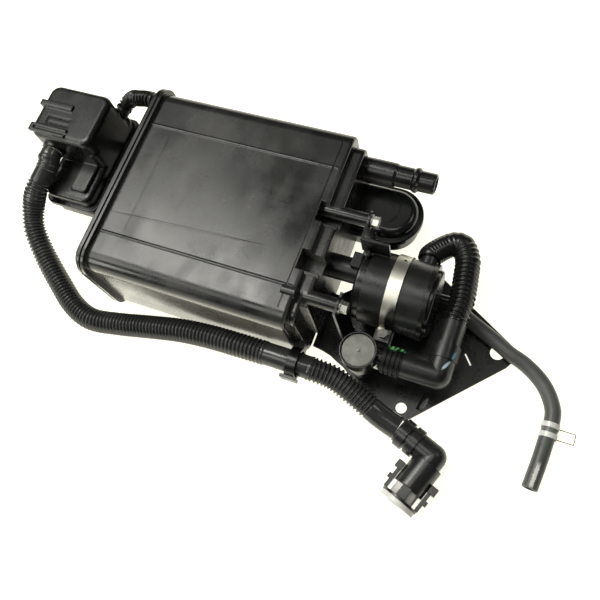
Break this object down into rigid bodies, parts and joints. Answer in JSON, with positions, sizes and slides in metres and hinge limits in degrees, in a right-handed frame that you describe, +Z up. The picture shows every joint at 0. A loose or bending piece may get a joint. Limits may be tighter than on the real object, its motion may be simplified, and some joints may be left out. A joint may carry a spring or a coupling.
{
  "type": "charcoal canister",
  "caption": "Charcoal canister of a fuel system: black case with weld flange, filter box, air module and valve on a bracket, and corrugated hoses.",
  "frame": {"origin": "middle of the case's underside", "axes": "+X along the case to its port end, +Y to the back, +Z up"},
  "size_m": [0.6303, 0.334, 0.117],
  "materials": {
    "case_plastic": "satin black, smudged",
    "bed_charcoal": "rough granules",
    "felt": "matt felt",
    "plate_plastic": "satin",
    "spring_steel": "drawn wire",
    "module_plastic": "satin dark grey",
    "cap_plastic": "satin black",
    "filter_paper": "matt paper",
    "hose_rubber": "glossy black",
    "band_steel": "bright band",
    "zinc_steel": "zinc plated",
    "valve_plastic": "satin black",
    "valve_cap_plastic": "satin mid grey",
    "bracket_paint": "semi-gloss black paint",
    "insert_brass": "turned",
    "box_plastic": "satin black",
    "filter_foam": "open foam",
    "clip_plastic": "satin black",
    "connector_plastic": "semi-gloss black",
    "retainer_plastic": "milky white",
    "seal_rubber": "smooth",
    "tag_film": "clear film with white bands"
  },
  "bodies": {
    "root": {"canister_case": "case_plastic", "end_cover": "case_plastic", "main_bed": "bed_charcoal", "rear_bed": "bed_charcoal", "front_bed": "bed_charcoal", "main_port_pad": "felt", "rear_port_pad": "felt", "front_port_pad": "felt", "main_spring_pad": "felt", "rear_spring_pad": "felt", "front_spring_pad": "felt", "main_pressure_plate": "plate_plastic", "rear_pressure_plate": "plate_plastic", "front_pressure_plate": "plate_plastic", "bed_springs": "spring_steel", "vapour_trap": "case_plastic", "module_body": "module_plastic", "module_left_cap": "cap_plastic", "module_right_cap": "cap_plastic", "module_filter": "filter_paper", "module_connector": "cap_plastic", "vent_coupling": "hose_rubber", "band_clamp": "band_steel", "band_screw": "zinc_steel", "vent_valve": "valve_plastic", "valve_cap": "valve_cap_plastic", "valve_sleeve": "hose_rubber", "valve_elbow": "hose_rubber", "loop_hose": "hose_rubber", "module_bracket": "bracket_paint", "bracket_bolts": "zinc_steel", "boss_inserts": "insert_brass", "filter_box_body": "box_plastic", "filter_box_base": "box_plastic", "filter_pad": "filter_foam", "link_hose": "hose_rubber", "purge_hose": "hose_rubber", "hose_clip": "clip_plastic", "connector_elbow": "connector_plastic", "connector_retainer": "retainer_plastic", "connector_latch": "connector_plastic", "connector_seal": "seal_rubber", "drain_hose": "hose_rubber", "hose_tag": "tag_film"}
  },
  "joints": []
}
